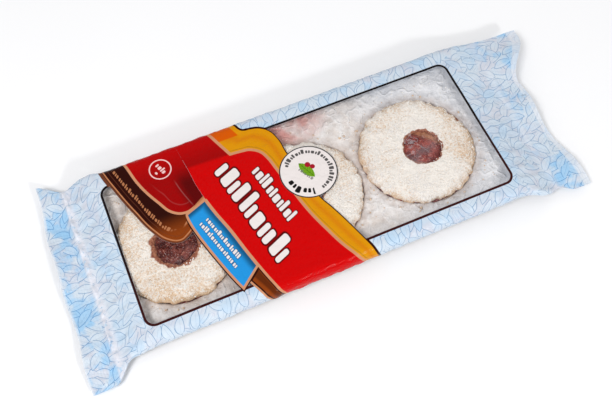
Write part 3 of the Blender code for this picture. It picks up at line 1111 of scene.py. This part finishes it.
def jamMesh(kind, centre):  # one body of jam: the layer between the biscuits and the dome in the hole
    low, high = biscuit["split"] - jam["overlap"], biscuit["split"] + biscuit["jam"] + jam["overlap"]
    spread, hole = pack["biscuitRadius"] - jam["inset"], kind["hole"] + 0.0002
    crown = biscuit["top"] - jam["crownGap"]
    points = [(mix(0.0, spread, step / 10), low) for step in range(11)]
    points += [(spread + 0.0003, (low + high) / 2.0)]
    points += [(mix(spread, hole, step / 8), high) for step in range(9)]
    points += [(hole, mix(high, crown - jam["crownDrop"], step / 4)) for step in range(1, 5)]
    for step in range(1, 19):
        share = step / 18
        points.append((hole * (1.0 - share), crown - jam["crownDrop"] * (1.0 - share) ** 2.2))
    shape = spun(points, False, jam["turns"])
    for vertex in shape.verts:
        x, y, z = vertex.co
        angle, radius = math.atan2(y, x), math.hypot(x, y)
        lumps = 0.6 * bumps(x, y, kind["seed"], 0.0042) + 0.8 * bumps(x, y, kind["seed"] + 2.0, 0.0024)
        if z > high + 0.001 and radius < hole - 0.0002:
            vertex.co.z += jam["lump"] * lumps * smooth((hole - radius) / 0.002)
        outward = smooth((radius - hole) / 0.006)
        stray = holeWander(angle, kind) * smooth(radius / hole) * (1.0 - outward)
        rimWander = bumps(math.cos(angle), math.sin(angle), kind["seed"] + 9.0, 0.3)
        stray += jam["rimWander"] * rimWander * outward
        inHole = 1.0 - outward if z > low else 0.0
        direction = Vector((x, y, 0.0)) / radius if radius > 0.0 else Vector()
        vertex.co += direction * stray + Vector((*kind["shift"], 0.0)) * inHole
    bmesh.ops.translate(shape, verts=shape.verts[:], vec=(centre[0], centre[1], 0.0))
    bmesh.ops.recalc_face_normals(shape, faces=shape.faces[:])
    return toMesh("jam" + kind["name"], shape)


print("biscuits")
biscuitLook, jamLook = biscuitMaterial(), jamMaterial()
topBiscuits = []
for kind, centre in zip(biscuitKinds, pack["biscuitCentres"]):
    addPiece(lowBiscuitMesh(kind, centre), biscuitLook)
    topBiscuits.append(addPiece(topBiscuitMesh(kind, centre), biscuitLook))
    addPiece(jamMesh(kind, centre), jamLook)

# ---- sugar and crumbs ----
scatter = {
    "grains": 1300,             # on each biscuit
    "grainSize": (0.00022, 0.00050),
    "trayGrains": 900,
    "crumbs": 130,
    "crumbSize": (0.0003, 0.0009),
    "crumbReach": 0.010,        # how far crumbs stray from a biscuit
    "margin": 0.006,            # kept clear along the tray's edges
    "grainGap": 0.003,          # kept clear round each biscuit
    "crumbGap": 0.0028,
    "grainSeed": 8,
    "crumbSeed": 21,
}


def addLump(shape, place, size, roundness, chance):
    made = bmesh.ops.create_icosphere(shape, subdivisions=1, radius=size)
    turn = Matrix.Rotation(chance.uniform(0.0, 6.283), 4, Vector((chance.random(), chance.random(), 1.0)))
    stretch = Matrix.Diagonal((1.0, chance.uniform(roundness, 1.0), chance.uniform(roundness, 1.0), 1.0))
    bmesh.ops.transform(shape, matrix=Matrix.Translation(place) @ turn @ stretch, verts=made["verts"])
    for vertex in made["verts"]:
        nudge = Vector((chance.uniform(-1.0, 1.0), chance.uniform(-1.0, 1.0), chance.uniform(-1.0, 1.0)))
        vertex.co += nudge * size * 0.18


def lumpsMesh(name, lumps, roundness, chance):  # small loose lumps at (place, size), joined in batches
    whole = bmesh.new()
    for start in range(0, len(lumps), 40):
        batch = bmesh.new()
        for place, size in lumps[start:start + 40]:
            addLump(batch, place, size, roundness, chance)
        made = toMesh("batch", batch)
        whole.from_mesh(made)
        bpy.data.meshes.remove(made)
    return toMesh(name, whole)


def sugarMesh():
    chance = random.Random(scatter["grainSeed"])
    lumps = []
    for piece, kind, (cx, cy) in zip(topBiscuits, biscuitKinds, pack["biscuitCentres"]):
        clearOf = (kind["hole"] + kind["soak"] * 1.3) / pack["biscuitRadius"]
        source = bmesh.new()
        source.from_mesh(piece.data)
        tree = BVHTree.FromBMesh(source)
        source.free()
        for _ in range(scatter["grains"]):
            radius = pack["biscuitRadius"] * math.sqrt(chance.uniform(clearOf * clearOf, 0.98))
            angle = chance.uniform(0.0, 2.0 * math.pi)
            start = Vector((cx + radius * math.cos(angle), cy + radius * math.sin(angle), 0.03))
            hit = tree.ray_cast(start, Vector((0.0, 0.0, -1.0)))[0]
            size = chance.uniform(*scatter["grainSize"])
            if hit is not None and 0.010 < hit.z < roomUnder(hit.x, hit.y) - size * 0.5:
                lumps.append((hit + Vector((0.0, 0.0, size * 0.3)), size))
    for _ in range(scatter["trayGrains"]):
        x = chance.uniform(tray["left"] + scatter["margin"], tray["right"] - scatter["margin"])
        y = chance.uniform(tray["near"] + scatter["margin"], tray["far"] - scatter["margin"])
        size = chance.uniform(*scatter["grainSize"])
        if nearestBiscuit(x, y) > pack["biscuitRadius"] + scatter["grainGap"]:
            lumps.append((Vector((x, y, trayHeight(x, y) + size * 0.6)), size))
    return lumpsMesh("sugarGrains", lumps, 0.7, chance)


def crumbMesh():
    chance = random.Random(scatter["crumbSeed"])
    lumps = []
    while len(lumps) < scatter["crumbs"]:
        cx, cy = chance.choice(pack["biscuitCentres"])
        radius = pack["biscuitRadius"] + scatter["grainGap"] + scatter["crumbReach"] * chance.random() ** 2
        angle = chance.uniform(0.0, 2.0 * math.pi)
        x, y = cx + radius * math.cos(angle), cy + radius * math.sin(angle)
        size = mix(*scatter["crumbSize"], chance.random() ** 2)
        gap = nearestBiscuit(x, y) - pack["biscuitRadius"]
        if trayEdge(x, y) > scatter["margin"] and gap > scatter["crumbGap"]:
            lumps.append((Vector((x, y, trayHeight(x, y) + size * 0.6)), size))
    return lumpsMesh("crumbs", lumps, 0.55, chance)


def sugarMaterial():
    recipe = Recipe("sugar")
    grain = recipe.speckle(recipe.place(), 2600.0, 1.0)
    colour = recipe.mixColour(tint(232, 226, 218), tint(250, 248, 244), grain.ramp(0.35, 0.65))
    return recipe.finish({"Base Color": colour, "Roughness": 0.6, "Normal": recipe.bump(grain, 0.0002)})


def crumbMaterial():
    recipe = Recipe("crumb")
    grain = recipe.speckle(recipe.place(), 900.0, 2.0)
    colour = recipe.mixColour(tint(202, 166, 134), tint(232, 214, 192), grain.ramp(0.35, 0.65))
    return recipe.finish({"Base Color": colour, "Roughness": 0.9, "Normal": recipe.bump(grain, 0.0004)})


print("sugar and crumbs")
addPiece(sugarMesh(), sugarMaterial())
addPiece(crumbMesh(), crumbMaterial())

# ---- floor, light and camera ----
studio = {
    "floor": tint(252, 252, 253),
    "floorReach": 3.0,
    "floorGap": 0.0002,         # keeps the floor just under the pack
    "world": 0.55,
    "key": {"at": (-0.60, -0.30, 0.90), "size": 0.40, "power": 5.8},
    "fill": {"at": (0.25, -0.92, 0.60), "size": 0.13, "power": 3.6},
    "back": {"at": (0.75, 0.60, 0.35), "size": 0.50, "power": 1.2},
}
view = {                        # where the camera looks, from how far, and its angles in degrees
    "target": (-0.0124, -0.00507, 0.0),
    "distance": 0.44572,
    "around": -23.54,
    "above": 64.53,
    "roll": 0.185,
    "lens": 44.06,
}


def floorMaterial():
    recipe = Recipe("floorPaint")
    grain = recipe.speckle(recipe.place(), 3.0, 2.0)
    colour = recipe.mixColour(studio["floor"], tint(246, 246, 248), grain)
    return recipe.finish({"Base Color": colour, "Roughness": 0.9, "Specular IOR Level": 0.1})


def addStudio():
    shape = bmesh.new()
    bmesh.ops.create_grid(shape, x_segments=4, y_segments=4, size=studio["floorReach"])
    bmesh.ops.translate(shape, verts=shape.verts[:], vec=(0.0, 0.0, -studio["floorGap"]))
    floor = bpy.data.objects.new("floor", toMesh("floor", shape))
    floor.data.materials.append(floorMaterial())
    bpy.context.scene.collection.objects.link(floor)
    world = bpy.data.worlds.new("studio")
    world.use_nodes = True
    background = world.node_tree.nodes["Background"]
    background.inputs["Color"].default_value = (1.0, 1.0, 1.0, 1.0)
    background.inputs["Strength"].default_value = studio["world"]
    bpy.context.scene.world = world
    for name in ("key", "fill", "back"):
        setting = studio[name]
        lamp = bpy.data.lights.new(name, "AREA")
        lamp.shape = "DISK"
        lamp.size = setting["size"]
        lamp.energy = setting["power"]
        holder = bpy.data.objects.new(name, lamp)
        holder.location = setting["at"]
        holder.rotation_euler = Vector(setting["at"]).to_track_quat("Z", "Y").to_euler()
        bpy.context.scene.collection.objects.link(holder)


def addCamera():
    around, above = math.radians(view["around"]), math.radians(view["above"])
    level = math.cos(above)
    back = Vector((math.sin(around) * level, -math.cos(around) * level, math.sin(above)))
    lens = bpy.data.cameras.new("camera")
    lens.sensor_width = 36.0
    lens.lens = view["lens"]
    lens.clip_start = 0.01
    camera = bpy.data.objects.new("camera", lens)
    camera.location = Vector(view["target"]) + back * view["distance"]
    turn = Matrix.Rotation(around, 4, "Z") @ Matrix.Rotation(math.pi / 2.0 - above, 4, "X")
    turn = turn @ Matrix.Rotation(math.radians(view["roll"]), 4, "Z")
    camera.rotation_euler = turn.to_euler()
    bpy.context.scene.collection.objects.link(camera)
    bpy.context.scene.camera = camera


print("floor, light and camera")
addStudio()
addCamera()
